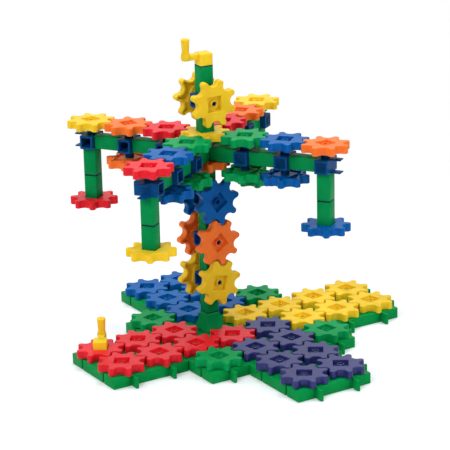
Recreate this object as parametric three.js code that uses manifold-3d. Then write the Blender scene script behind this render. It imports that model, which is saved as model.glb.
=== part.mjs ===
// A crank-driven gear construction toy: a floor of meshing gears on interlocked plates, a mast of
// square pillars and six-way connectors, and a four-armed carousel with its own train of gears.
// Units are millimetres, +Z is up, and the origin is where the mast's axis meets the floor.

import * as THREE from 'three';
import { mergeVertices } from 'three/addons/utils/BufferGeometryUtils.js';
import Module from 'manifold-3d';

const wasm = await Module();
wasm.setup();

// Sizes that everything shares
const pitch = 50;
const seat = 0.3;
const overrun = 1;
const roundSides = 6;
const pinSides = 4;
const squareSides = 4;
const handleSides = 12;
const degree = Math.PI / 180;
const quarterTurn = Math.PI / 2;
const rightAngle = 90;

// Gear
const teeth = 8;
const toothReach = 3.6;
const tipHalfWidth = 2.2;
const toothDepth = 4.8;
const rootHalfWidth = 4.4;
const gearThickness = 9.5;
const recessClearance = 0.45;
const recessDepth = 5;
const bossRadius = 4.6;
const bossDrop = 0.9;
const boreRadius = 3;

// Floor plate, which carries two by two gears on pins and hooks to its neighbours
const plateThickness = 12.5;
const plateGap = 0.4;
const tongueNeckWidth = 2.6;
const tongueNeckLength = 3;
const tongueHeadWidth = 3.8;
const tongueHeadLength = 8.5;
const slotClearance = 0.2;
const plugClearance = 0.3;
const pinClearance = 0.2;
const pinDrop = 1.2;

// Pillar
const pillarWidth = 16.2;
const pillarBore = 12;
const legPillars = 2;

// Mast foot
const footBaseWidth = 32;
const footNeckWidth = 17.4;
const footFlareHeight = 9;
const footEdgeHeight = 3;
const footHeight = 23.35;

// Six-way connector: two round posts, two plugs for pillars and two open sockets
const connectorWidth = 16.5;
const socketReach = 15;
const socketBore = 11.5;
const prongReach = 19.8;
const prongWidth = 11;
const prongThickness = 1.4;
const postRadius = 5.2;
const postLength = 8;

// Crank
const crankBlockHeight = 14;
const crankChamfer = 1.2;
const crankArmWidth = 8.6;
const crankArmThickness = 7;
const crankThrow = 23;
const handleLength = 26;
const handleTopRadius = 5.6;
const handleWaistRadius = 4.2;
const handleBulgeRadius = 5.5;
const handleEndRadius = 5;
const handleWaistShare = 0.42;
const handleBulgeShare = 0.18;

// How far each part of the toy is turned in the photographed pose
const carouselTurn = 33.6 * degree;
const upperMastTurn = -4.5 * degree;
const floorGearTurn = 11.25 * degree;
const mastGearTurn = -11.25 * degree;
const topGearTurn = 3 * degree;
const sideCrankTurn = -33.75 * degree;
const halfTooth = Math.PI / teeth;

// Sizes and heights that follow. A pin's corners clear the flats of the bore it turns in, a pillar's or
// crank's end fits a gear's recess, and a pillar and a connector together make one pitch.
const pinRadius = boreRadius * Math.cos(Math.PI / roundSides) - pinClearance;
const tipRadius = pitch / 2 + toothReach;
const rootRadius = pitch / 2 - toothDepth;
const recessWidth = pillarWidth + 2 * recessClearance;
const pinReach = seat + gearThickness - bossDrop - pinDrop;
const connectorHalf = connectorWidth / 2;
const pillarLength = pitch - connectorWidth;
const postReach = connectorHalf + postLength;
const floorGearBase = plateThickness + seat;
const footTop = plateThickness + footHeight;
const mastConnectorCount = 3;
const mastConnectorBase = footTop + pillarLength + connectorHalf;
const mastTop = mastConnectorBase + (mastConnectorCount - 1) * pitch + connectorHalf + pillarLength;
const centreGearBase = mastTop - recessDepth + seat;
const hubHeight = centreGearBase + gearThickness + seat + connectorHalf;
const armGearBase = hubHeight + postReach + seat;
const upperMastBase = armGearBase + gearThickness - recessDepth + seat;
const topConnectorHeight = upperMastBase + pillarLength + connectorHalf;
const topCrankBase = topConnectorHeight + connectorHalf + pillarLength + seat;
const legEnd = hubHeight - connectorHalf - legPillars * pillarLength;
const armConnectorCount = 3;

// Colours of the moulded plastic
const red = plastic(0xd8202f);
const yellow = plastic(0xf2c313);
const blue = plastic(0x1b5fb5);
const green = plastic(0x0b9a4e);
const purple = plastic(0x4c4788);
const orange = plastic(0xf2641e);
const pillarGreen = plastic(0x078a3c);

function plastic(colour) {
  return new THREE.MeshStandardMaterial({ color: colour, roughness: 0.32, metalness: 0 });
}

// Closed solids for the cuts and joins
function solidOf(geometry) {
  const bare = geometry.index ? geometry.toNonIndexed() : geometry.clone();
  bare.deleteAttribute('normal');
  bare.deleteAttribute('uv');
  const welded = mergeVertices(bare);
  return new wasm.Manifold(new wasm.Mesh({
    numProp: 3,
    vertProperties: new Float32Array(welded.attributes.position.array),
    triVerts: new Uint32Array(welded.index.array),
  }));
}

function geometryOf(solid) {
  const result = solid.getMesh();
  const geometry = new THREE.BufferGeometry();
  geometry.setAttribute('position', new THREE.BufferAttribute(new Float32Array(result.vertProperties), 3));
  geometry.setIndex(new THREE.BufferAttribute(new Uint32Array(result.triVerts), 1));
  geometry.computeVertexNormals();
  return geometry;
}

function joined(geometries) {
  return geometries.map(solidOf).reduce((whole, next) => whole.add(next));
}

function piece(name, geometry, material) {
  const mesh = new THREE.Mesh(geometry, material);
  mesh.name = name;
  return mesh;
}

// Simple bodies: a block, an upright post, and a square bar with its four edges taken off
function block(width, depth, height, x, y, z) {
  return new THREE.BoxGeometry(width, depth, height).translate(x, y, z);
}

function post(radius, bottom, top, sides = roundSides) {
  const rim = new THREE.Path().absarc(0, 0, radius, 0, 2 * Math.PI).getSpacedPoints(sides);
  const outline = new THREE.Shape(rim.slice(1));
  const geometry = new THREE.ExtrudeGeometry(outline, { depth: top - bottom, bevelEnabled: false });
  return geometry.translate(0, 0, bottom);
}

function bevelledSquare(width, depth, chamfer) {
  const x = width / 2;
  const y = depth / 2;
  const corners = [[x, y - chamfer], [x - chamfer, y], [chamfer - x, y], [-x, y - chamfer],
    [-x, chamfer - y], [chamfer - x, -y], [x - chamfer, -y], [x, chamfer - y]];
  return new THREE.Shape(corners.map(([across, along]) => new THREE.Vector2(across, along)));
}

function pillarBar(bottom, top) {
  return block(pillarWidth, pillarWidth, top - bottom, 0, 0, (bottom + top) / 2);
}

// The hollow in a pillar's or crank's end, which clears a gear's boss
function endHollow(bottom, top) {
  return solidOf(block(pillarBore, pillarBore, top - bottom, 0, 0, (bottom + top) / 2));
}

// Gear, lying on its bearing face: eight rounded teeth, a square recess and a bored boss
function toothedOutline() {
  const root = Math.asin(rootHalfWidth / rootRadius);
  const tip = Math.asin(tipHalfWidth / tipRadius);
  const profile = [[rootRadius, -root], [tipRadius, -tip], [tipRadius, tip], [rootRadius, root]];
  const points = [];
  for (let tooth = 0; tooth < teeth; tooth += 1) {
    const middle = halfTooth + tooth * 2 * halfTooth;
    for (const [radius, aside] of profile) {
      points.push(new THREE.Vector2(radius, 0).rotateAround(new THREE.Vector2(), middle + aside));
    }
  }
  return new THREE.Shape(points);
}

function toothedWheel() {
  return new THREE.ExtrudeGeometry(toothedOutline(), { depth: gearThickness, bevelEnabled: false });
}

function gearGeometry() {
  const recessFloor = gearThickness - recessDepth;
  const recess = block(recessWidth, recessWidth, recessDepth + overrun,
    0, 0, recessFloor + (recessDepth + overrun) / 2);
  const boss = solidOf(post(bossRadius, recessFloor - overrun, gearThickness - bossDrop));
  const bore = solidOf(post(boreRadius, -overrun, gearThickness + overrun));
  return geometryOf(solidOf(toothedWheel()).subtract(solidOf(recess)).add(boss).subtract(bore));
}

const sharedGear = gearGeometry();

function gear(name, material, x, y, z, turn) {
  const mesh = piece(name, sharedGear, material);
  mesh.position.set(x, y, z);
  mesh.rotation.z = turn;
  return mesh;
}

// The turn that puts a gear in mesh with its neighbour, for neighbours along a quarter-turn direction
function meshedTurn(neighbourTurn) {
  return -halfTooth - neighbourTurn;
}

// A connector standing with its posts along Z and its plugs along X, at the origin
function connectorCore() {
  const sockets = block(connectorWidth, 2 * socketReach, connectorWidth, 0, 0, 0);
  const shoulders = post(postRadius, -postReach, postReach);
  const pin = post(pinRadius, -postReach - pinReach, postReach + pinReach, pinSides);
  return joined([sockets, shoulders, pin]);
}

function socketHole() {
  return solidOf(block(socketBore, 2 * socketReach + 2 * overrun, socketBore, 0, 0, 0));
}

// Floor: eight plates in a pinwheel, each two pitches square, placed in shares of a pitch
const plateShares = [[-0.5, 0.5], [1.5, 0.5], [1.5, -1.5], [-0.5, -1.5],
  [-2.5, -0.5], [0.5, 2.5], [3.5, -0.5], [0.5, -3.5]];
const plateCentres = plateShares.map(([x, y]) => [x * pitch, y * pitch]);

function tongue(width, neckWidth, spare) {
  const start = plateGap + overrun;
  const neck = block(tongueNeckLength + start, neckWidth, plateThickness,
    (tongueNeckLength - start) / 2, 0, plateThickness / 2);
  const headLength = tongueHeadLength + spare;
  const head = block(headLength, width, plateThickness,
    tongueNeckLength + headLength / 2, 0, plateThickness / 2);
  return solidOf(neck).add(solidOf(head));
}

function slotCut() {
  const clear = 2 * slotClearance;
  return tongue(tongueHeadWidth + clear, tongueNeckWidth + clear, slotClearance)
    .scale([1, 1, 1 + 2 * overrun / plateThickness]).translate([0, 0, -overrun]);
}

function isOpenEdge(x, y) {
  return plateCentres.every(([across, along]) => Math.abs(x - across) > pitch || Math.abs(y - along) > pitch);
}

function floorPlates() {
  const side = 2 * pitch - plateGap;
  const slab = solidOf(block(side, side, plateThickness, 0, 0, plateThickness / 2));
  const pin = solidOf(post(pinRadius, plateThickness - overrun, plateThickness + pinReach, pinSides));
  const eastward = tongue(tongueHeadWidth, tongueNeckWidth, 0);
  const southward = eastward.rotate([0, 0, -rightAngle]);
  const northSlot = slotCut().rotate([0, 0, -rightAngle]);
  let floor = null;
  for (const [x, y] of plateCentres) {
    let plate = slab.translate([x, y, 0]);
    for (const across of [-pitch / 2, pitch / 2]) {
      for (const along of [-pitch / 2, pitch / 2]) {
        const underMast = Math.hypot(x + across, y + along) < pitch / 2;
        plate = underMast ? plate : plate.add(pin.translate([x + across, y + along, 0]));
      }
    }
    floor = floor ? floor.add(plate) : plate;
  }
  for (const [x, y] of plateCentres) {
    for (const across of [-pitch / 2, pitch / 2]) {
      floor = floor.add(eastward.translate([x + side / 2, y + across, 0]));
      floor = floor.add(southward.translate([x + across, y - side / 2, 0]));
      if (isOpenEdge(x - pitch - plateGap, y + across)) {
        floor = floor.subtract(slotCut().translate([x - side / 2, y + across, 0]));
      }
      if (isOpenEdge(x + across, y + pitch + plateGap)) {
        floor = floor.subtract(northSlot.translate([x + across, y + side / 2, 0]));
      }
    }
  }
  return piece('floor_plates', geometryOf(floor), green);
}

// Floor gears by their place on the lattice, in shares of a pitch from the mast
const floorGearShares = [
  ['red', red, [[-3, 0], [-2, 0], [-1, 0], [-3, -1], [-2, -1], [-1, -1], [0, -1]]],
  ['blue', blue, [[0, 1], [0, 2], [0, 3], [1, 1], [1, 2], [1, 3]]],
  ['yellow', yellow, [[1, 0], [2, 0], [3, 0], [4, 0], [2, -1], [3, -1], [4, -1]]],
  ['purple', purple, [[1, -1], [1, -2], [1, -3], [1, -4], [0, -2], [0, -3], [0, -4]]],
  ['green', green, [[-1, 1], [2, 1], [2, -2], [-1, -2]]],
];

// Gears whose recess sits an eighth of a turn from the others'
const eighthTurned = ['red_floor_gear_1', 'red_floor_gear_2', 'red_floor_gear_4', 'red_floor_gear_7',
  'blue_floor_gear_3', 'purple_floor_gear_1', 'purple_floor_gear_3', 'purple_floor_gear_4',
  'purple_floor_gear_7'];

function addFloorGears(toy) {
  for (const [colour, material, places] of floorGearShares) {
    places.forEach(([across, along], index) => {
      const name = `${colour}_floor_gear_${index + 1}`;
      const turn = floorGearTurn - (eighthTurned.includes(name) ? 2 * halfTooth : 0);
      toy.add(gear(name, material, across * pitch, along * pitch, floorGearBase, turn));
    });
  }
}

// The mast's flared foot, which stands on the floor plates
function mastFoot() {
  const lower = footBaseWidth / 2;
  const neck = footNeckWidth / 2;
  const edge = floorGearBase + footEdgeHeight;
  const top = floorGearBase + footFlareHeight;
  const profile = [[0, floorGearBase], [lower, floorGearBase], [lower, edge], [neck, top], [0, top]];
  const corner = Math.SQRT2;
  const points = profile.map(([radius, height]) => new THREE.Vector2(radius * corner, height));
  return solidOf(new THREE.LatheGeometry(points, squareSides).rotateX(quarterTurn).rotateZ(quarterTurn / 2));
}

// A connector with its posts to the front and rear and its open sockets to the left and right
function mastConnector(height) {
  return connectorCore().rotate([0, rightAngle, 0]).rotate([0, 0, rightAngle]).translate([0, 0, height]);
}

function mastSocketHole(height) {
  return socketHole().rotate([0, 0, rightAngle]).translate([0, 0, height]);
}

// The gear at the mast's top, which grips the pillar's end in its recess and never turns
function fixedCentreGear() {
  return solidOf(sharedGear).rotate([2 * rightAngle, 0, 0]).translate([0, 0, centreGearBase + gearThickness]);
}

// Lower mast: the foot, pillars, connectors whose posts point to the front and rear, and the fixed gear
function lowerMast() {
  const grip = centreGearBase + recessDepth + overrun;
  let mast = mastFoot().add(solidOf(pillarBar(floorGearBase + footFlareHeight - overrun, grip)));
  for (let level = 0; level < mastConnectorCount; level += 1) {
    mast = mast.add(mastConnector(mastConnectorBase + level * pitch));
  }
  for (let level = 0; level < mastConnectorCount; level += 1) {
    mast = mast.subtract(mastSocketHole(mastConnectorBase + level * pitch));
  }
  mast = mast.subtract(endHollow(mastTop - recessDepth, grip + overrun)).add(fixedCentreGear());
  return piece('lower_mast', geometryOf(mast), pillarGreen);
}

// A gear on a mast connector's front or rear post, facing away from the mast. The rear gears sit half a
// tooth on from the front ones.
function mastGear(name, material, height, side, turn) {
  const mesh = gear(name, material, 0, -side * (postReach + seat), height, 0);
  mesh.rotation.set(side * quarterTurn, 0, side > 0 ? turn : turn + halfTooth);
  return mesh;
}

function addMastGears() {
  const colours = [['yellow', yellow, 0], ['orange', orange, 1], ['blue', blue, 1]];
  colours.forEach(([colour, material, eighths], level) => {
    const height = mastConnectorBase + level * pitch;
    const turn = mastGearTurn + eighths * 2 * halfTooth;
    toy.add(mastGear(`front_mast_${colour}_gear`, material, height, 1, turn));
    toy.add(mastGear(`rear_mast_${colour}_gear`, material, height, -1, turn));
  });
}

// Carousel: a hub and four arms of connectors and pillars. From each arm's end hangs a leg of two
// pillars with a gear as its foot. The table gives an arm's direction in quarter turns and its gears
// from the hub out, and 1 where a gear's recess is turned an eighth.
const arms = [
  ['right', -1, [['green', green, 0], ['blue', blue, 1], ['orange', orange, 1]]],
  ['back', 0, [['red', red, 0], ['orange', orange, 1], ['yellow', yellow, 0]]],
  ['left', 1, [['red', red, 0], ['orange', orange, 0], ['yellow', yellow, 1]]],
  ['front', 2, [['green', green, 0], ['blue', blue, 1], ['red', red, 0]]],
];

function armLeg() {
  const legs = solidOf(pillarBar(legEnd - hubHeight, -connectorHalf + overrun));
  const foot = solidOf(toothedWheel()).translate([0, 0, legEnd - hubHeight - gearThickness + recessDepth]);
  return legs.add(foot);
}

// The free plug at an arm's end: two thin prongs that spring into a pillar's end
function endPlug(reach) {
  const prong = block(prongReach, prongWidth, prongThickness, reach + prongReach / 2, 0, 0);
  const prongHeight = connectorHalf - prongThickness / 2;
  return joined([prong.clone().translate(0, 0, prongHeight), prong.translate(0, 0, -prongHeight)]);
}

// An arm along X from its start to the plug at its end, with its leg
function carouselArm(start) {
  const reach = armConnectorCount * pitch;
  let arm = solidOf(pillarBar(start, reach)).rotate([0, rightAngle, 0]).add(endPlug(reach));
  for (let step = 1; step <= armConnectorCount; step += 1) {
    arm = arm.add(connectorCore().translate([step * pitch, 0, 0]));
  }
  arm = arm.add(armLeg().translate([reach, 0, 0]));
  for (let step = 1; step <= armConnectorCount; step += 1) {
    arm = arm.subtract(socketHole().translate([step * pitch, 0, 0]));
  }
  return arm;
}

// An arm whose first pillar slips over the hub's plug
function pluggedArm(name) {
  const start = connectorHalf + seat;
  const hollow = endHollow(start - overrun, start + recessDepth).rotate([0, rightAngle, 0]);
  return piece(name, geometryOf(carouselArm(start).subtract(hollow)), pillarGreen);
}

// The hub with the two arms that its sockets hold, and plugs for the other two. It turns on the fixed
// centre gear: its pivot pin runs in that gear's bore.
function carouselFrame() {
  const plugWidth = pillarBore - 2 * plugClearance;
  const plugs = block(2 * (connectorHalf + recessDepth), plugWidth, plugWidth, 0, 0, 0);
  const pivot = post(pinRadius, -connectorHalf - pinReach, 0, pinSides);
  const arm = carouselArm(0);
  const hub = connectorCore().trimByPlane([0, 0, 1], -connectorHalf).add(joined([plugs, pivot]));
  const beam = hub.add(arm.rotate([0, 0, rightAngle])).add(arm.rotate([0, 0, -rightAngle]));
  return piece('carousel_frame', geometryOf(beam), pillarGreen);
}

function carousel() {
  const group = new THREE.Group();
  group.position.z = hubHeight;
  group.rotation.z = carouselTurn;
  group.add(carouselFrame());
  group.add(pluggedArm('back_arm_frame'));
  const frontArm = pluggedArm('front_arm_frame');
  frontArm.rotation.z = Math.PI;
  group.add(frontArm);
  const driveTurn = upperMastTurn - carouselTurn;
  for (const [arm, quarters, gears] of arms) {
    const spoke = new THREE.Group();
    spoke.rotation.z = quarters * quarterTurn;
    gears.forEach(([colour, material, eighths], index) => {
      const turn = (index % 2 ? driveTurn : meshedTurn(driveTurn)) + eighths * 2 * halfTooth;
      const name = `${arm}_arm_${colour}_gear`;
      spoke.add(gear(name, material, (index + 1) * pitch, 0, armGearBase - hubHeight, turn));
    });
    group.add(spoke);
  }
  return group;
}

// Upper mast: the drive gear on the hub's post, a pillar, a connector, a pillar and the top crank
function upperMast() {
  const lower = solidOf(pillarBar(upperMastBase, topConnectorHeight));
  const upper = solidOf(pillarBar(topConnectorHeight, topCrankBase - seat));
  const whole = lower.add(upper).add(mastConnector(topConnectorHeight));
  const bored = whole.subtract(endHollow(upperMastBase - overrun, upperMastBase + recessDepth));
  return piece('upper_mast', geometryOf(bored.subtract(mastSocketHole(topConnectorHeight))), pillarGreen);
}

function crank(name) {
  const outline = bevelledSquare(pillarWidth, pillarWidth, crankChamfer);
  const base = new THREE.ExtrudeGeometry(outline, { depth: crankBlockHeight, bevelEnabled: false });
  const armBase = crankBlockHeight - crankArmThickness;
  const arm = block(crankThrow, crankArmWidth, crankArmThickness,
    crankThrow / 2, 0, armBase + crankArmThickness / 2);
  const profile = [[0, 0], [handleEndRadius, 0], [handleBulgeRadius, handleLength * handleBulgeShare],
    [handleWaistRadius, handleLength * handleWaistShare], [handleTopRadius, handleLength], [0, handleLength]];
  const points = profile.map(([radius, height]) => new THREE.Vector2(radius, height));
  const spool = new THREE.LatheGeometry(points, handleSides).rotateX(quarterTurn);
  const handle = spool.translate(crankThrow, 0, armBase);
  const whole = joined([base, arm, handle]).subtract(endHollow(-overrun, recessDepth));
  return piece(name, geometryOf(whole), yellow);
}

function turningUpperMast() {
  const group = new THREE.Group();
  group.rotation.z = upperMastTurn;
  group.add(gear('drive_gear', yellow, 0, 0, armGearBase, 0));
  group.add(upperMast());
  group.add(mastGear('front_top_yellow_gear', yellow, topConnectorHeight, 1, topGearTurn));
  group.add(mastGear('rear_top_yellow_gear', yellow, topConnectorHeight, -1, topGearTurn));
  const topCrank = crank('top_crank');
  topCrank.position.z = topCrankBase;
  topCrank.rotation.z = Math.PI;
  group.add(topCrank);
  return group;
}

function sideCrank() {
  const mesh = crank('side_crank');
  const [across, along] = floorGearShares[0][2][0];
  const base = floorGearBase + gearThickness - recessDepth + seat;
  mesh.position.set(across * pitch, along * pitch, base);
  mesh.rotation.z = sideCrankTurn + quarterTurn;
  return mesh;
}

const toy = new THREE.Group();
toy.add(floorPlates());
addFloorGears(toy);
toy.add(lowerMast());
addMastGears();
toy.add(carousel());
toy.add(turningUpperMast());
toy.add(sideCrank());

export default toy;
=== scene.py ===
import math

import bmesh
import bpy
from mathutils import Matrix, Vector


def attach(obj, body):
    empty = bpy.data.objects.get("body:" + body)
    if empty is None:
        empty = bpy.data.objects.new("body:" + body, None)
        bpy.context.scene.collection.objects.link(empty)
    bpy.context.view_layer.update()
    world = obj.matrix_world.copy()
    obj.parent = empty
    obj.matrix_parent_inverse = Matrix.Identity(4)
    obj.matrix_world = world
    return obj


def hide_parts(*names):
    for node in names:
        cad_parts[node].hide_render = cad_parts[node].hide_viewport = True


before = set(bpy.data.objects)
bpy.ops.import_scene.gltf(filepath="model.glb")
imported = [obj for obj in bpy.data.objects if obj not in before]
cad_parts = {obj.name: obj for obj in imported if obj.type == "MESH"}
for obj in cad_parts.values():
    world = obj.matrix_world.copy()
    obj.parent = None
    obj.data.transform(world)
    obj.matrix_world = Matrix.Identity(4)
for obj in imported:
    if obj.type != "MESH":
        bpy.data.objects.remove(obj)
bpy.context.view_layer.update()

# The photograph's view: a long lens in front and to the left of the toy, a little above it. The toy
# stands on a plain white sweep, in soft light from four boxes and from all round. Sizes are in metres.
scene = bpy.context.scene
scene.view_settings.view_transform = "Standard"

lens = bpy.data.cameras.new("long_lens")
lens.sensor_width = 36
lens.lens = 166.2
lens.clip_end = 40
camera = bpy.data.objects.new("long_lens", lens)
scene.collection.objects.link(camera)
scene.camera = camera
stand = Vector((-1.211, -1.989, 0.910))
ahead = Vector((0.5010, 0.8068, -0.3131)).normalized()
toy_middle = Vector((0, 0, 0.15))
level = ahead.cross(Vector((0, 0, 1))).normalized()
over = level.cross(ahead)
roll = math.radians(-1.273)
sideways = level * math.cos(roll) + over * math.sin(roll)
upright = over * math.cos(roll) - level * math.sin(roll)
camera.matrix_world = Matrix.Translation(stand) @ Matrix((sideways, upright, -ahead)).transposed().to_4x4()

world = bpy.data.worlds.new("white_room")
scene.world = world
world.use_nodes = True
room = world.node_tree
room.nodes.clear()
rays = room.nodes.new("ShaderNodeLightPath")
camera_or_glossy = room.nodes.new("ShaderNodeMath")
camera_or_glossy.operation = "MAXIMUM"
room.links.new(rays.outputs["Is Camera Ray"], camera_or_glossy.inputs[0])
room.links.new(rays.outputs["Is Glossy Ray"], camera_or_glossy.inputs[1])
seen_white = room.nodes.new("ShaderNodeMath")
seen_white.operation = "MAXIMUM"
room.links.new(camera_or_glossy.outputs[0], seen_white.inputs[0])
room.links.new(rays.outputs["Is Transmission Ray"], seen_white.inputs[1])
soft_light = room.nodes.new("ShaderNodeBackground")
soft_light.inputs["Color"].default_value = (1, 0.84, 0.68, 1)
soft_light.inputs["Strength"].default_value = 0.24
white_backdrop = room.nodes.new("ShaderNodeBackground")
white_backdrop.inputs["Color"].default_value = (1, 1, 1, 1)
white_backdrop.inputs["Strength"].default_value = 1
either = room.nodes.new("ShaderNodeMixShader")
room.links.new(seen_white.outputs[0], either.inputs["Fac"])
room.links.new(soft_light.outputs[0], either.inputs[1])
room.links.new(white_backdrop.outputs[0], either.inputs[2])
room_output = room.nodes.new("ShaderNodeOutputWorld")
room.links.new(either.outputs[0], room_output.inputs["Surface"])


def soft_box(name, place, size, power):
    lamp = bpy.data.lights.new(name, "AREA")
    lamp.color = (0.93, 0.98, 1)
    lamp.size = size
    lamp.energy = power
    box = bpy.data.objects.new(name, lamp)
    scene.collection.objects.link(box)
    box.location = place
    box.rotation_euler = (toy_middle - Vector(place)).to_track_quat("-Z", "Y").to_euler()


soft_box("front_left_box", (-2.0, -1.1, 2.0), 1.2, 38)
soft_box("front_right_box", (1.1, -2.1, 1.3), 1.2, 20)
soft_box("back_left_box", (-1.3, 1.3, 2.2), 1.2, 16)
soft_box("overhead_box", (0.5, 0.3, 2.6), 1.6, 40)

sweep_half, sweep_level = 9, -0.0003
sweep_bm = bmesh.new()
bmesh.ops.create_grid(sweep_bm, x_segments=1, y_segments=1, size=sweep_half)
bmesh.ops.translate(sweep_bm, verts=sweep_bm.verts, vec=(0, 0, sweep_level))
sweep_mesh = bpy.data.meshes.new("white_sweep")
sweep_bm.to_mesh(sweep_mesh)
sweep_bm.free()
sweep = bpy.data.objects.new("white_sweep", sweep_mesh)
scene.collection.objects.link(sweep)
paper = bpy.data.materials.new("white_paper")
paper.use_nodes = True
sheet = paper.node_tree
sheet.nodes.clear()
matt_white = sheet.nodes.new("ShaderNodeBsdfDiffuse")
matt_white.inputs["Color"].default_value = (0.88, 0.9, 0.94, 1)
bright_white = sheet.nodes.new("ShaderNodeEmission")
bright_white.inputs["Color"].default_value = (1, 1, 1, 1)
lift = sheet.nodes.new("ShaderNodeEmission")
lift.inputs["Color"].default_value = (0.9, 0.96, 1, 1)
lift.inputs["Strength"].default_value = 0.15
lifted = sheet.nodes.new("ShaderNodeAddShader")
sheet.links.new(matt_white.outputs[0], lifted.inputs[0])
sheet.links.new(lift.outputs[0], lifted.inputs[1])
floor_place = sheet.nodes.new("ShaderNodeTexCoord")
from_toy = sheet.nodes.new("ShaderNodeVectorMath")
from_toy.operation = "LENGTH"
sheet.links.new(floor_place.outputs["Object"], from_toy.inputs[0])
fade = sheet.nodes.new("ShaderNodeMapRange")
fade.inputs["From Min"].default_value = 0.3
fade.inputs["From Max"].default_value = 0.8
sheet.links.new(from_toy.outputs["Value"], fade.inputs["Value"])
faded = sheet.nodes.new("ShaderNodeMixShader")
sheet.links.new(fade.outputs[0], faded.inputs["Fac"])
sheet.links.new(lifted.outputs[0], faded.inputs[1])
sheet.links.new(bright_white.outputs[0], faded.inputs[2])
floor_rays = sheet.nodes.new("ShaderNodeLightPath")
only_camera = sheet.nodes.new("ShaderNodeMixShader")
sheet.links.new(floor_rays.outputs["Is Camera Ray"], only_camera.inputs["Fac"])
sheet.links.new(matt_white.outputs[0], only_camera.inputs[1])
sheet.links.new(faded.outputs[0], only_camera.inputs[2])
sheet_output = sheet.nodes.new("ShaderNodeOutputMaterial")
sheet.links.new(only_camera.outputs[0], sheet_output.inputs["Surface"])
sweep_mesh.materials.append(paper)

# Gears: glossy moulded plastic, eight finger teeth with round ends and round valleys between. Each has
# a square recess for a pillar or a crank, in it a bored boss that turns on a pin, and a hollow back.
# Sizes are in mm.
pitch = 50
tooth_turn = math.radians(22.5)
finger_radius = 3.8
finger_centre = 24.8
valley_centre = finger_centre / math.cos(tooth_turn)
valley_radius = valley_centre * math.sin(tooth_turn) - finger_radius
gear_thickness = 9.5
recess_half = 8.9
web_thickness = 4.5
boss_radius = 4.1
boss_height = 8.6
bore_radius = 3
wall_thickness = 1.7
hollow_depth = 3.5
rim_round = 0.75
recess_round = 0.35
face_step = 0.25
arc_steps = 5
loop_points = 32
weld = 0.001
to_metres = Matrix.Scale(0.001, 4)


def moulded(name, red, green, blue, sheen=0.03, gloss=0.3):
    """Glossy moulded plastic in a colour of 0 to 255, a little uneven, with a fine grain and a soft polish."""
    linear = [(c / 255 / 12.92) if c <= 10 else ((c / 255 + 0.055) / 1.055) ** 2.4
              for c in (red, green, blue)]
    finish = bpy.data.materials.new(name)
    finish.use_nodes = True
    tree = finish.node_tree
    plastic = tree.nodes["Principled BSDF"]
    plastic.inputs["Specular IOR Level"].default_value = sheen
    plastic.inputs["Subsurface Weight"].default_value = 0.3
    plastic.inputs["Subsurface Radius"].default_value = (1, 0.3, 0.1)
    plastic.inputs["Subsurface Scale"].default_value = 0.006
    place = tree.nodes.new("ShaderNodeTexCoord")
    cloud = tree.nodes.new("ShaderNodeTexNoise")
    cloud.inputs["Scale"].default_value = 46
    cloud.inputs["Detail"].default_value = 3
    tree.links.new(place.outputs["Object"], cloud.inputs["Vector"])
    tint = tree.nodes.new("ShaderNodeValToRGB")
    tint.color_ramp.elements[0].position = 0.3
    tint.color_ramp.elements[1].position = 0.7
    tint.color_ramp.elements[0].color = [c * 0.9 for c in linear] + [1]
    tint.color_ramp.elements[1].color = [min(1, c * 1.06 + 0.003) for c in linear] + [1]
    tree.links.new(cloud.outputs["Fac"], tint.inputs["Fac"])
    tree.links.new(tint.outputs["Color"], plastic.inputs["Base Color"])
    grain = tree.nodes.new("ShaderNodeTexNoise")
    grain.inputs["Scale"].default_value = 1100
    grain.inputs["Detail"].default_value = 2
    tree.links.new(place.outputs["Object"], grain.inputs["Vector"])
    polish = tree.nodes.new("ShaderNodeMapRange")
    polish.inputs["To Min"].default_value = gloss - 0.06
    polish.inputs["To Max"].default_value = gloss + 0.08
    tree.links.new(grain.outputs["Fac"], polish.inputs["Value"])
    tree.links.new(polish.outputs[0], plastic.inputs["Roughness"])
    dimple = tree.nodes.new("ShaderNodeBump")
    dimple.inputs["Strength"].default_value = 0.12
    dimple.inputs["Distance"].default_value = 0.0002
    tree.links.new(grain.outputs["Fac"], dimple.inputs["Height"])
    tree.links.new(dimple.outputs["Normal"], plastic.inputs["Normal"])
    return finish


red_plastic = moulded("red_plastic", 228, 28, 44, 0.14)
yellow_plastic = moulded("yellow_plastic", 246, 204, 42, 0.07)
blue_plastic = moulded("blue_plastic", 0, 92, 168, 0.07)
green_plastic = moulded("green_plastic", 0, 152, 82, 0.04)
purple_plastic = moulded("purple_plastic", 42, 46, 112, 0.3)
orange_plastic = moulded("orange_plastic", 252, 120, 44, 0.1)
gear_finish = {"red": red_plastic, "yellow": yellow_plastic, "blue": blue_plastic,
               "green": green_plastic, "purple": purple_plastic, "orange": orange_plastic}


def curve_round(bm, start, centre, turn, steps):
    """A curved edge that starts at a vertex and turns round a centre."""
    arc = bmesh.ops.spin(bm, geom=[start], cent=centre, axis=(0, 0, 1), angle=turn, steps=steps)
    return arc["geom_last"][0]


def vertices(geometry):
    """The vertices of what a mesh operation gives back."""
    return [v for v in geometry if isinstance(v, bmesh.types.BMVert)]


def soften(bm, edges, width, steps=3):
    """The small rounding that a mould leaves on an edge."""
    bmesh.ops.bevel(bm, geom=edges, offset=width, offset_type="OFFSET", segments=steps, profile=0.5,
                    affect="EDGES", clamp_overlap=True, material=-1)


def across(direction):
    """The mirror across a line through the axis, at an angle in radians."""
    flip = Matrix.Diagonal((1, -1, 1, 1))
    return Matrix.Rotation(direction, 4, "Z") @ flip @ Matrix.Rotation(-direction, 4, "Z")


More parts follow.
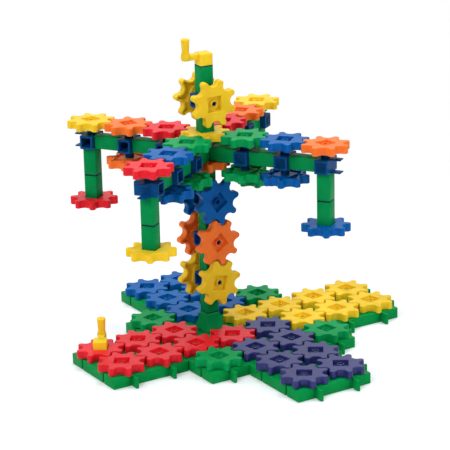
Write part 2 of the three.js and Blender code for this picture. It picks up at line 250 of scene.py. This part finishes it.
def mirrored_copy(bm, direction):
    """All that is there once more on the other side of a line, joined to it."""
    copied = bmesh.ops.duplicate(bm, geom=bm.verts[:] + bm.edges[:] + bm.faces[:])["geom"]
    bmesh.ops.transform(bm, matrix=across(direction), verts=vertices(copied))
    bmesh.ops.remove_doubles(bm, verts=bm.verts, dist=weld)


def thicken(bm, faces, height):
    """A flat outline pushed up into a closed slab."""
    raised = bmesh.ops.extrude_face_region(bm, geom=faces, use_keep_orig=True)["geom"]
    bmesh.ops.translate(bm, verts=vertices(raised), vec=(0, 0, height))
    bmesh.ops.recalc_face_normals(bm, faces=bm.faces)


def toothed_wheel():
    """Half a tooth from arcs, mirrored to a tooth, then to a quarter of the wheel, then turned to all of it."""
    bm = bmesh.new()
    valley = bm.verts.new((valley_centre - valley_radius, 0, 0))
    flank = curve_round(bm, valley, (valley_centre, 0, 0), tooth_turn - math.pi / 2, arc_steps)
    finger = Vector((math.cos(tooth_turn), math.sin(tooth_turn), 0)) * finger_centre
    curve_round(bm, flank, finger, math.pi / 2, arc_steps)
    mirrored_copy(bm, tooth_turn)
    far_valley = max(bm.verts, key=lambda v: v.co.y - v.co.x)
    near_valley = min(bm.verts, key=lambda v: v.co.y + abs(v.co.x - valley_centre + valley_radius))
    side = bm.verts.new((recess_half, 0, 0))
    corner = bm.verts.new((recess_half, recess_half, 0))
    for pair in ((near_valley, side), (side, corner), (corner, far_valley)):
        bm.edges.new(pair)
    bmesh.ops.contextual_create(bm, geom=bm.edges[:])
    mirrored_copy(bm, math.pi / 4)
    bmesh.ops.spin(bm, geom=bm.faces[:], cent=(0, 0, 0), axis=(0, 0, 1), angle=math.pi * 1.5, steps=3,
                   use_duplicate=True)
    bmesh.ops.remove_doubles(bm, verts=bm.verts, dist=weld)
    thicken(bm, bm.faces[:], gear_thickness)
    rim = [e for e in bm.edges if len(e.link_faces) == 2
           and abs(e.verts[0].co.z - e.verts[1].co.z) < 0.01
           and abs(e.link_faces[0].normal.z) + abs(e.link_faces[1].normal.z) < 1.5]
    between = (recess_half * math.sqrt(2) + valley_centre - valley_radius) / 2
    teeth_rim = [e for e in rim if e.verts[0].co.xy.length > between]
    recess_rim = [e for e in rim if e.verts[0].co.xy.length < between and e.verts[0].co.z > 1]
    soften(bm, teeth_rim, rim_round)
    soften(bm, [e for e in recess_rim if e.is_valid], recess_round, 2)
    front = [f for f in bm.faces if f.normal.z > 0.999]
    bmesh.ops.inset_region(bm, faces=front, thickness=face_step, use_even_offset=True)
    back = [f for f in bm.faces if f.normal.z < -0.999]
    bmesh.ops.inset_region(bm, faces=back, thickness=wall_thickness, use_even_offset=True)
    sunk = bmesh.ops.extrude_face_region(bm, geom=back)["geom"]
    bmesh.ops.translate(bm, verts=vertices(sunk), vec=(0, 0, hollow_depth))
    bmesh.ops.delete(bm, geom=[f for f in back if f.is_valid], context="FACES")
    bmesh.ops.recalc_face_normals(bm, faces=bm.faces)
    return bm


def level_loop(bm, height, radius=None, half=None):
    """A round or a square loop at one height, both with the same number of points."""
    earlier = set(bm.edges)
    place = Matrix.Translation((0, 0, height)) @ Matrix.Rotation(math.pi / 4, 4, "Z")
    bmesh.ops.create_circle(bm, segments=loop_points if radius else 4, radius=radius or half * math.sqrt(2),
                            matrix=place)
    loop = [e for e in bm.edges if e not in earlier]
    if half:
        bmesh.ops.subdivide_edges(bm, edges=loop, cuts=loop_points // 4 - 1)
    return [e for e in bm.edges if e not in earlier]


def web_and_boss():
    """The floor of the recess and its bored boss, joined loop to loop. The boss has a worn top edge, and
    its top slopes a little outwards, because two loops at one height join crosswise."""
    bm = bmesh.new()
    bore_edge, boss_edge, slope = 0.5, 0.4, 0.05
    loops = [level_loop(bm, 0, radius=bore_radius),
             level_loop(bm, boss_height - bore_edge, radius=bore_radius),
             level_loop(bm, boss_height, radius=bore_radius + bore_edge),
             level_loop(bm, boss_height - slope, radius=boss_radius - boss_edge),
             level_loop(bm, boss_height - boss_edge, radius=boss_radius),
             level_loop(bm, web_thickness, radius=boss_radius),
             level_loop(bm, web_thickness, half=recess_half),
             level_loop(bm, 0, half=recess_half)]
    for first, second in zip(loops, loops[1:] + loops[:1]):
        bmesh.ops.bridge_loops(bm, edges=first + second)
    bmesh.ops.recalc_face_normals(bm, faces=bm.faces)
    return bm


def as_mesh(name, *forms):
    """Forms in mm, joined as one mesh with rounded edges shaded smooth and corners kept crisp."""
    whole = bmesh.new()
    for form in forms:
        part = bpy.data.meshes.new(name)
        form.to_mesh(part)
        whole.from_mesh(part)
        bpy.data.meshes.remove(part)
        form.free()
    mesh = bpy.data.meshes.new(name)
    whole.to_mesh(mesh)
    whole.free()
    mesh.shade_smooth()
    mesh.set_sharp_from_angle(angle=math.radians(38))
    return mesh


def set_in_place(name, form, place, finish, slot, body, *nodes):
    """A copy of a form, moved to its place in the toy, on its body and in place of its CAD nodes."""
    mesh = form.copy()
    mesh.name = name
    mesh.transform(to_metres @ place)
    mesh.materials.append(finish)
    piece = bpy.data.objects.new(name, mesh)
    scene.collection.objects.link(piece)
    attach(piece, body)
    if nodes:
        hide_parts(*nodes)
    return piece


def at(x, y, z, turn=0):
    """A place, with a turn about the upright axis."""
    return Matrix.Translation((x, y, z)) @ Matrix.Rotation(turn, 4, "Z")


gear_form = as_mesh("gear", toothed_wheel(), web_and_boss())
half_tooth = math.pi / 8
gear_base = 12.8
floor_gear_turn = math.radians(11.25)
floor_gears = {
    "red": [(-3, 0), (-2, 0), (-1, 0), (-3, -1), (-2, -1), (-1, -1), (0, -1)],
    "blue": [(0, 1), (0, 2), (0, 3), (1, 1), (1, 2), (1, 3)],
    "yellow": [(1, 0), (2, 0), (3, 0), (4, 0), (2, -1), (3, -1), (4, -1)],
    "purple": [(1, -1), (1, -2), (1, -3), (1, -4), (0, -2), (0, -3), (0, -4)],
    "green": [(-1, 1), (2, 1), (2, -2), (-1, -2)]}
turned_an_eighth = {"red_floor_gear_1", "red_floor_gear_2", "red_floor_gear_4", "red_floor_gear_7",
                    "blue_floor_gear_3", "purple_floor_gear_1", "purple_floor_gear_3", "purple_floor_gear_4",
                    "purple_floor_gear_7"}
for colour, places in floor_gears.items():
    for number, (x, y) in enumerate(places, 1):
        node = f"{colour}_floor_gear_{number}"
        turn = floor_gear_turn - (2 * half_tooth if node in turned_an_eighth else 0)
        body = "side_crank" if node == "red_floor_gear_1" else node
        set_in_place(f"{node}_teeth", gear_form, at(x * pitch, y * pitch, gear_base, turn),
                     gear_finish[colour], colour, body, node)

# Gears on the masts: the same gears, standing on the connectors' front and rear posts with their
# recesses outwards. The lower three on each side mesh in a column, the rear ones half a tooth on.
connector_half = 8.25
post_reach = 16.25
post_play = 0.3
lower_levels = (77.6, 127.6, 177.6)
mast_gear_turn = math.radians(-11.25)


def on_post(height, side, turn, mast_turn=0):
    """On a mast's post, where side is 1 in front and -1 at the rear."""
    turn += half_tooth if side < 0 else 0
    return (Matrix.Rotation(mast_turn, 4, "Z")
            @ Matrix.Translation((0, -side * (post_reach + post_play), height))
            @ Matrix.Rotation(side * math.pi / 2, 4, "X") @ Matrix.Rotation(turn, 4, "Z"))


for level, (colour, eighths) in enumerate([("yellow", 0), ("orange", 1), ("blue", 1)]):
    for side_name, side in (("front", 1), ("rear", -1)):
        node = f"{side_name}_mast_{colour}_gear"
        turn = mast_gear_turn + eighths * 2 * half_tooth
        set_in_place(f"{node}_teeth", gear_form, on_post(lower_levels[level], side, turn),
                     gear_finish[colour], colour, node, node)
upper_mast_turn = math.radians(-4.5)
top_level = 295.8
top_gear_turn = math.radians(3)
for side_name, side in (("front", 1), ("rear", -1)):
    node = f"{side_name}_top_yellow_gear"
    set_in_place(f"{node}_teeth", gear_form, on_post(top_level, side, top_gear_turn, upper_mast_turn),
                 yellow_plastic, "yellow", node, node)

# Centre gears: an orange one grips the lower mast's top, face down, and never turns. The yellow drive
# gear above the hub turns with the upper mast, whose pillar stands in its recess.
mast_top = 219.35
recess_depth = gear_thickness - web_thickness
plug_play = 0.3
centre_gear_top = mast_top - recess_depth + plug_play + gear_thickness
arm_gear_base = 249.25
upside_down = Matrix.Rotation(math.pi, 4, "X")
set_in_place("fixed_centre_gear_teeth", gear_form, at(0, 0, centre_gear_top) @ upside_down,
             orange_plastic, "orange", "base", "lower_mast")
set_in_place("drive_gear_teeth", gear_form, at(0, 0, arm_gear_base, upper_mast_turn),
             yellow_plastic, "yellow", "upper_mast", "drive_gear")

# Gears on the carousel: three stand on each arm's upper posts in a train from the drive gear. Five more
# hang under the arms on the lower posts, and a gear is plugged fast under each leg as its foot.
carousel_turn = math.radians(33.6)
quarters = {"right": -1, "back": 0, "left": 1, "front": 2}
arm_nodes = {"right": "carousel_frame", "back": "back_arm_frame", "left": "carousel_frame",
             "front": "front_arm_frame"}
arm_gears = {"right": [("green", 0), ("blue", 1), ("orange", 1)],
             "back": [("red", 0), ("orange", 1), ("yellow", 0)],
             "left": [("red", 0), ("orange", 0), ("yellow", 1)],
             "front": [("green", 0), ("blue", 1), ("red", 0)]}
drive_turn = upper_mast_turn - carousel_turn
under_post = 216.15
leg_end = 157.45
foot_gears = {"right": "blue", "back": "green", "left": "red", "front": "yellow"}
under_gears = [("right", 1, "green"), ("right", 2, "blue"), ("front", 1, "green"), ("front", 2, "blue"),
               ("left", 2, "orange")]
inner_under_turn, outer_under_turn = math.radians(11.1), math.radians(11.4)


def on_arm(arm, x, z, turn=0):
    """On an arm, at a distance x from the mast's axis."""
    return Matrix.Rotation(carousel_turn + quarters[arm] * math.pi / 2, 4, "Z") @ at(x, 0, z, turn)


for arm, gears in arm_gears.items():
    for step, (colour, eighths) in enumerate(gears, 1):
        node = f"{arm}_arm_{colour}_gear"
        turn = (drive_turn if step == 2 else -half_tooth - drive_turn) + eighths * 2 * half_tooth
        set_in_place(f"{node}_teeth", gear_form, on_arm(arm, step * pitch, arm_gear_base, turn),
                     gear_finish[colour], colour, node, node)
    colour = foot_gears[arm]
    set_in_place(f"{arm}_leg_foot_gear", gear_form, on_arm(arm, 3 * pitch, leg_end - web_thickness),
                 gear_finish[colour], colour, "carousel", arm_nodes[arm])
for arm, step, colour in under_gears:
    turn = inner_under_turn if step == 1 else outer_under_turn
    set_in_place(f"{arm}_under_arm_{colour}_gear", gear_form,
                 on_arm(arm, step * pitch, under_post) @ upside_down @ at(0, 0, 0, turn),
                 gear_finish[colour], colour, "carousel")

# Floor plates: eight green moulded squares for two by two gears, hooked together by flared tongues in
# slots, and a hollow snap pin on each gear's place with a thin seat ring round it.
plate_half = 49.55
plate_thickness = 12.5
plate_places = [(-0.5, 0.5), (1.5, 0.5), (1.5, -1.5), (-0.5, -1.5),
                (-2.5, -0.5), (0.5, 2.5), (3.5, -0.5), (0.5, -3.5)]
corner_round, plate_rim_round = 1.2, 0.35
neck_half, neck_reach = 1.3, 3
head_half, flare_reach, tongue_reach = 1.9, 4.2, 11.7
tip_reach, tip_narrowing = 0.9, 0.6
slot_room = 0.2
near = 0.1
plate_plastic = moulded("plate_plastic", 0, 144, 70)


def turned(profile, steps=24):
    """A profile of (radius, height) points, spun round the Z axis."""
    bm = bmesh.new()
    chain = [bm.verts.new((radius, 0, height)) for radius, height in profile]
    edges = [bm.edges.new(pair) for pair in zip(chain, chain[1:])]
    bmesh.ops.spin(bm, geom=chain + edges, cent=(0, 0, 0), axis=(0, 0, 1), angle=math.tau, steps=steps)
    bmesh.ops.remove_doubles(bm, verts=bm.verts, dist=weld)
    bmesh.ops.recalc_face_normals(bm, faces=bm.faces)
    return bm


def score(bm, x=None, y=None):
    """A straight line across a flat sheet, where x or y has one value."""
    point, across_line = ((x, 0, 0), (1, 0, 0)) if y is None else ((0, y, 0), (0, 1, 0))
    bmesh.ops.bisect_plane(bm, geom=bm.verts[:] + bm.edges[:] + bm.faces[:],
                           plane_co=point, plane_no=across_line)


def push_out(bm, edges, outwards, reach, widen=1):
    """Edges drawn out flat along a direction, and made wider or narrower about their middle."""
    drawn = vertices(bmesh.ops.extrude_edge_only(bm, edges=edges)["geom"])
    bmesh.ops.translate(bm, verts=drawn, vec=Vector(outwards) * reach)
    middle = sum((v.co for v in drawn), Vector()) / len(drawn)
    for v in drawn:
        v.co = middle + (v.co - middle) * widen
    return [e for e in bm.edges if e.verts[0] in drawn and e.verts[1] in drawn]


def rise(edge):
    """How far one end of an edge lies above or below the other."""
    return abs(edge.verts[0].co.z - edge.verts[1].co.z)


def plate():
    """A square sheet with slots at two sides and tongues drawn out of the other two, then made thick."""
    bm = bmesh.new()
    bmesh.ops.create_grid(bm, x_segments=1, y_segments=1, size=plate_half)
    slot_mouth, slot_flare = neck_half + slot_room, head_half + slot_room
    for side in (-pitch / 2, pitch / 2):
        for half in (-slot_flare, -slot_mouth, -neck_half, neck_half, slot_mouth, slot_flare):
            score(bm, x=side + half)
            score(bm, y=side + half)
    for depth in (neck_reach, tongue_reach + slot_room):
        score(bm, x=depth - plate_half)
        score(bm, y=plate_half - depth)
    gone = []
    for face in bm.faces:
        x, y, _ = face.calc_center_median()
        for depth, aside in ((x + plate_half, y), (plate_half - y, x)):
            room = slot_mouth if depth < neck_reach else slot_flare
            if depth < tongue_reach + slot_room and abs(abs(aside) - pitch / 2) < room:
                gone.append(face)
    bmesh.ops.delete(bm, geom=list(set(gone)), context="FACES")
    for outwards in ((1, 0, 0), (0, -1, 0)):
        for side in (-pitch / 2, pitch / 2):
            start = Vector(outwards) * plate_half + Vector((-outwards[1], outwards[0], 0)) * side
            root = [e for e in bm.edges if e.is_boundary
                    and ((e.verts[0].co + e.verts[1].co) / 2 - start).length < near]
            neck = push_out(bm, root, outwards, neck_reach)
            flare = push_out(bm, neck, outwards, flare_reach - neck_reach, head_half / neck_half)
            head = push_out(bm, flare, outwards, tongue_reach - flare_reach - tip_reach)
            push_out(bm, head, outwards, tip_reach, tip_narrowing)
    bmesh.ops.dissolve_limit(bm, angle_limit=0.01, verts=bm.verts, edges=bm.edges)
    thicken(bm, bm.faces[:], plate_thickness)
    corners = [e for e in bm.edges if rise(e) > 1
               and min(abs(abs(v) - plate_half) for v in e.verts[0].co.xy) < near
               and abs(abs(e.verts[0].co.x) - abs(e.verts[0].co.y)) < near]
    soften(bm, corners, corner_round)
    rim = [e for e in bm.edges if e.calc_face_angle(0) > 1 and rise(e) < near]
    soften(bm, rim, plate_rim_round, 2)
    return bm


def placed(bm, place):
    """The same form, moved."""
    bmesh.ops.transform(bm, matrix=place, verts=bm.verts)
    return bm


def snap_pin():
    """The seat ring and the pin with its hollow tip, both a little sunk into the plate."""
    seat_ring = turned([(3.4, 12.4), (6.2, 12.4), (6.2, 12.7), (6, 12.75), (3.6, 12.75), (3.4, 12.7),
                        (3.4, 12.4)])
    pin = turned([(0, 12.4), (2.4, 12.4), (2.4, 19.5), (2.2, 19.8), (2, 19.8), (1.8, 19.5), (1.8, 15),
                  (0, 15)])
    return [seat_ring, pin]


for number, (x, y) in enumerate(plate_places, 1):
    pins = []
    for across_plate in (-0.5, 0.5):
        for along_plate in (-0.5, 0.5):
            if (x + across_plate, y + along_plate) != (0, 0):
                spot = at(across_plate * pitch, along_plate * pitch, 0)
                pins += [placed(form, spot) for form in snap_pin()]
    form = as_mesh("plate", plate(), *pins)
    set_in_place(f"floor_plate_{number}", form, at(x * pitch, y * pitch, 0),
                 plate_plastic, "green", "base", "floor_plates")

# Mast foot: a square moulded foot that stands on the plates and tapers in to the pillar's size. The first
# pillar is plugged into its top.
pillar_half = 8.1
foot_levels = [(12.8, 13.5), (13.3, 14), (14.6, 14), (16, 13.4), (19, 12.2), (23, 10.9),
               (28, 9.7), (32, 9), (34.2, 8.7), (34.7, 8.3)]
foot_round = 1.1
pillar_plastic = moulded("pillar_plastic", 0, 142, 76)


def lofted(levels):
    """Square loops of (height, half width), joined in turn and closed at both ends."""
    bm = bmesh.new()
    loops = [level_loop(bm, height, half=half) for height, half in levels]
    for first, second in zip(loops, loops[1:]):
        bmesh.ops.bridge_loops(bm, edges=first + second)
    for end in (loops[0], loops[-1]):
        bmesh.ops.contextual_create(bm, geom=end)
    bmesh.ops.recalc_face_normals(bm, faces=bm.faces)
    return bm


def square_corners(bm):
    """The upright edges at the four corners of a lofted form."""
    return [e for e in bm.edges if rise(e) > 0.2
            and all(abs(abs(v.co.x) - abs(v.co.y)) < 0.01 for v in e.verts)]


foot = lofted(foot_levels)
soften(foot, square_corners(foot), foot_round, 2)
set_in_place("mast_foot_flare", as_mesh("foot", foot), at(0, 0, 0),
             pillar_plastic, "pillar_green", "base", "lower_mast")

# Pillars: square hollow bars with rounded edges, plugged over the connectors' plugs. Where one meets
# another or the mast's foot end to end, a dark joiner shows as a thin line between them.
pillar_length = 33.5
pillar_gap = 1.1
pillar_side_round, pillar_end_round = 1, 0.45
joiner_width, joiner_height, joiner_round = 15.8, 6, 0.5
foot_top = 35.85
upper_mast_base = 254.05
top_crank_base = 337.85
hub_level = 232.7
joiner_plastic = moulded("joiner_plastic", 20, 36, 58, gloss=0.4)


def pillar(length):
    """Stands on its lower end at the origin."""
    bm = bmesh.new()
    bmesh.ops.create_cube(bm, size=1, matrix=Matrix.Translation((0, 0, length / 2))
                          @ Matrix.Diagonal((2 * pillar_half, 2 * pillar_half, length, 1)))
    soften(bm, [e for e in bm.edges if rise(e) > 1], pillar_side_round)
    soften(bm, [e for e in bm.edges if rise(e) < near
                and {round(abs(f.normal.z)) for f in e.link_faces} == {0, 1}], pillar_end_round, 2)
    return bm


pillar_form = as_mesh("pillar", pillar(pillar_length))
short_pillar_form = as_mesh("pillar", pillar(pillar_length - pillar_gap))
joiner = bmesh.new()
bmesh.ops.create_cube(joiner, size=1, matrix=Matrix.Diagonal((joiner_width, joiner_width, joiner_height, 1)))
soften(joiner, joiner.edges[:], joiner_round, 2)
joiner_form = as_mesh("joiner", joiner)
for step in range(4):
    set_in_place(f"lower_mast_pillar_{step + 1}", pillar_form, at(0, 0, foot_top + step * pitch),
                 pillar_plastic, "pillar_green", "base", "lower_mast")
for step in range(2):
    form = (pillar_form, short_pillar_form)[step]
    set_in_place(f"upper_mast_pillar_{step + 1}", form,
                 at(0, 0, upper_mast_base + step * pitch, upper_mast_turn),
                 pillar_plastic, "pillar_green", "upper_mast", "upper_mast")
set_in_place("mast_foot_joiner", joiner_form, at(0, 0, foot_top - 0.5),
             joiner_plastic, "pillar_green", "base")
set_in_place("upper_mast_joiner", joiner_form, at(0, 0, top_crank_base - 2.5, upper_mast_turn),
             joiner_plastic, "pillar_green", "upper_mast")
lying = Matrix.Rotation(math.pi / 2, 4, "Y")
for arm, node in arm_nodes.items():
    for step in range(3):
        place = on_arm(arm, step * pitch + connector_half, hub_level) @ lying
        set_in_place(f"{arm}_arm_pillar_{step + 1}", pillar_form, place,
                     pillar_plastic, "pillar_green", "carousel", node)
    for step in range(2):
        place = on_arm(arm, 3 * pitch, leg_end + step * (pillar_length + pillar_gap / 2))
        set_in_place(f"{arm}_leg_pillar_{step + 1}", short_pillar_form, place,
                     pillar_plastic, "pillar_green", "carousel", node)
    set_in_place(f"{arm}_leg_joiner", joiner_form, on_arm(arm, 3 * pitch, leg_end + pillar_length),
                 joiner_plastic, "pillar_green", "carousel")

# Connectors: dark blue six-way pieces. A square tube open at both ends, two plugs hidden in the pillars
# and two round posts with snap pins. On an arm's last one the outer plug shows, as two flat prongs.
tube_reach = 15
tube_bore_half = 5.75
tube_edge, mouth_edge, tube_corner_round = 0.5, 0.3, 0.6
post_radius = 5.2
post_root = 7.9
pin_tip = 23.95
prong_reach, prong_width, prong_thickness = 19.8, 11, 1.4
prong_level = connector_half - prong_thickness / 2 - 0.05
connector_plastic = moulded("connector_plastic", 6, 74, 132, 0.04)


def square_tube(bottom, top):
    """A square tube upright on the Z axis, open at both ends."""
    bm = bmesh.new()
    levels = [(bottom + tube_edge, connector_half), (top - tube_edge, connector_half),
              (top, connector_half - tube_edge), (top, tube_bore_half + mouth_edge),
              (top - mouth_edge, tube_bore_half), (bottom + mouth_edge, tube_bore_half),
              (bottom, tube_bore_half + mouth_edge), (bottom, connector_half - tube_edge)]
    loops = [level_loop(bm, height, half=half) for height, half in levels]
    for first, second in zip(loops, loops[1:] + loops[:1]):
        bmesh.ops.bridge_loops(bm, edges=first + second)
    bmesh.ops.recalc_face_normals(bm, faces=bm.faces)
    outer = [e for e in square_corners(bm) if e.verts[0].co.xy.length > connector_half * 1.3]
    soften(bm, outer, tube_corner_round, 2)
    return bm


def round_post():
    """A post with a snap pin on it, whose tip is hollow."""
    return turned([(0, post_root), (post_radius, post_root), (post_radius, 15.75), (4.7, post_reach),
                   (2.4, post_reach), (2.4, pin_tip - 0.4), (2.2, pin_tip), (2.1, pin_tip),
                   (1.9, pin_tip - 0.3), (1.9, 18), (0, 18)])


def flat_bar(width, depth, height, x, y, z, edge=0.3):
    """A bar with softened edges, centred on (x, y, z)."""
    bm = bmesh.new()
    bmesh.ops.create_cube(bm, size=1, matrix=Matrix.Translation((x, y, z))
                          @ Matrix.Diagonal((width, depth, height, 1)))
    soften(bm, bm.edges[:], edge, 2)
    return bm


along_y = Matrix.Rotation(math.pi / 2, 4, "X")
connector_form = as_mesh("connector", placed(square_tube(-tube_reach, tube_reach), along_y),
                         round_post(), placed(round_post(), upside_down))
end_connector_form = as_mesh("end_connector", placed(square_tube(-tube_reach, tube_reach), along_y),
                             round_post(),
                             *(flat_bar(prong_reach, prong_width, prong_thickness, prong_reach / 2, 0, level)
                               for level in (prong_level, -prong_level)))
hub_pin = turned([(0, -7), (2.4, -7), (2.4, -15.4), (1.9, -15.9), (0, -15.9)])
hub_width, hub_edge = 16.5, 0.5
hub_form = as_mesh("hub", flat_bar(hub_width, hub_width, hub_width, 0, 0, 0, hub_edge), round_post(), hub_pin)
standing = Matrix.Rotation(math.pi / 2, 4, "Z") @ Matrix.Rotation(math.pi / 2, 4, "Y")
for number, height in enumerate(lower_levels, 1):
    set_in_place(f"lower_mast_connector_{number}", connector_form, at(0, 0, height) @ standing,
                 connector_plastic, "blue", "base", "lower_mast")
set_in_place("upper_mast_connector", connector_form, at(0, 0, top_level, upper_mast_turn) @ standing,
             connector_plastic, "blue", "upper_mast", "upper_mast")
set_in_place("carousel_hub", hub_form, on_arm("back", 0, hub_level),
             connector_plastic, "blue", "carousel", "carousel_frame")
for arm, node in arm_nodes.items():
    for step in (1, 2, 3):
        form = end_connector_form if step == 3 else connector_form
        set_in_place(f"{arm}_arm_connector_{step}", form, on_arm(arm, step * pitch, hub_level),
                     connector_plastic, "blue", "carousel", node)

# Cranks: yellow, each a square block that plugs into a gear's recess or over the mast's top, with an arm
# and a spool-shaped handle.
crank_block_height = 14
crank_arm_thickness = 7
crank_arm_half = 4.3
crank_throw = 23
crank_block_round, crank_arm_round = 1.3, 1.6
crank_arm_drop = 0.15
crank_play = 0.3
side_crank_turn = math.radians(56.25)
crank_arm_base = crank_block_height - crank_arm_thickness


def crank():
    """Stands on its block at the origin, with the handle out along X."""
    block = bmesh.new()
    bmesh.ops.create_cube(block, size=1, matrix=Matrix.Translation((0, 0, crank_block_height / 2))
                          @ Matrix.Diagonal((2 * pillar_half, 2 * pillar_half, crank_block_height, 1)))
    soften(block, [e for e in block.edges if max(v.co.z for v in e.verts) > 1], crank_block_round)
    arm = flat_bar(crank_throw, 2 * crank_arm_half, crank_arm_thickness, crank_throw / 2, 0,
                   crank_arm_base + crank_arm_thickness / 2 - crank_arm_drop, crank_arm_round)
    handle = turned([(0, 0), (4.3, 0), (5, 0.6), (5.4, 2.6), (5.5, 4.7), (5.2, 7), (4.5, 9.2), (4.2, 11),
                     (4.3, 13.5), (4.6, 18), (5, 23), (5.1, 24.6), (4.9, 25.1), (4.5, 25.3), (0, 25.3)])
    return as_mesh("crank", block, arm, placed(handle, at(crank_throw, 0, crank_arm_base)))


crank_form = crank()
set_in_place("top_crank_handle", crank_form, at(0, 0, top_crank_base, upper_mast_turn + math.pi),
             yellow_plastic, "yellow", "upper_mast", "top_crank")
side_crank_base = gear_base + web_thickness + crank_play
set_in_place("side_crank_handle", crank_form, at(-3 * pitch, 0, side_crank_base, side_crank_turn),
             yellow_plastic, "yellow", "side_crank", "side_crank")
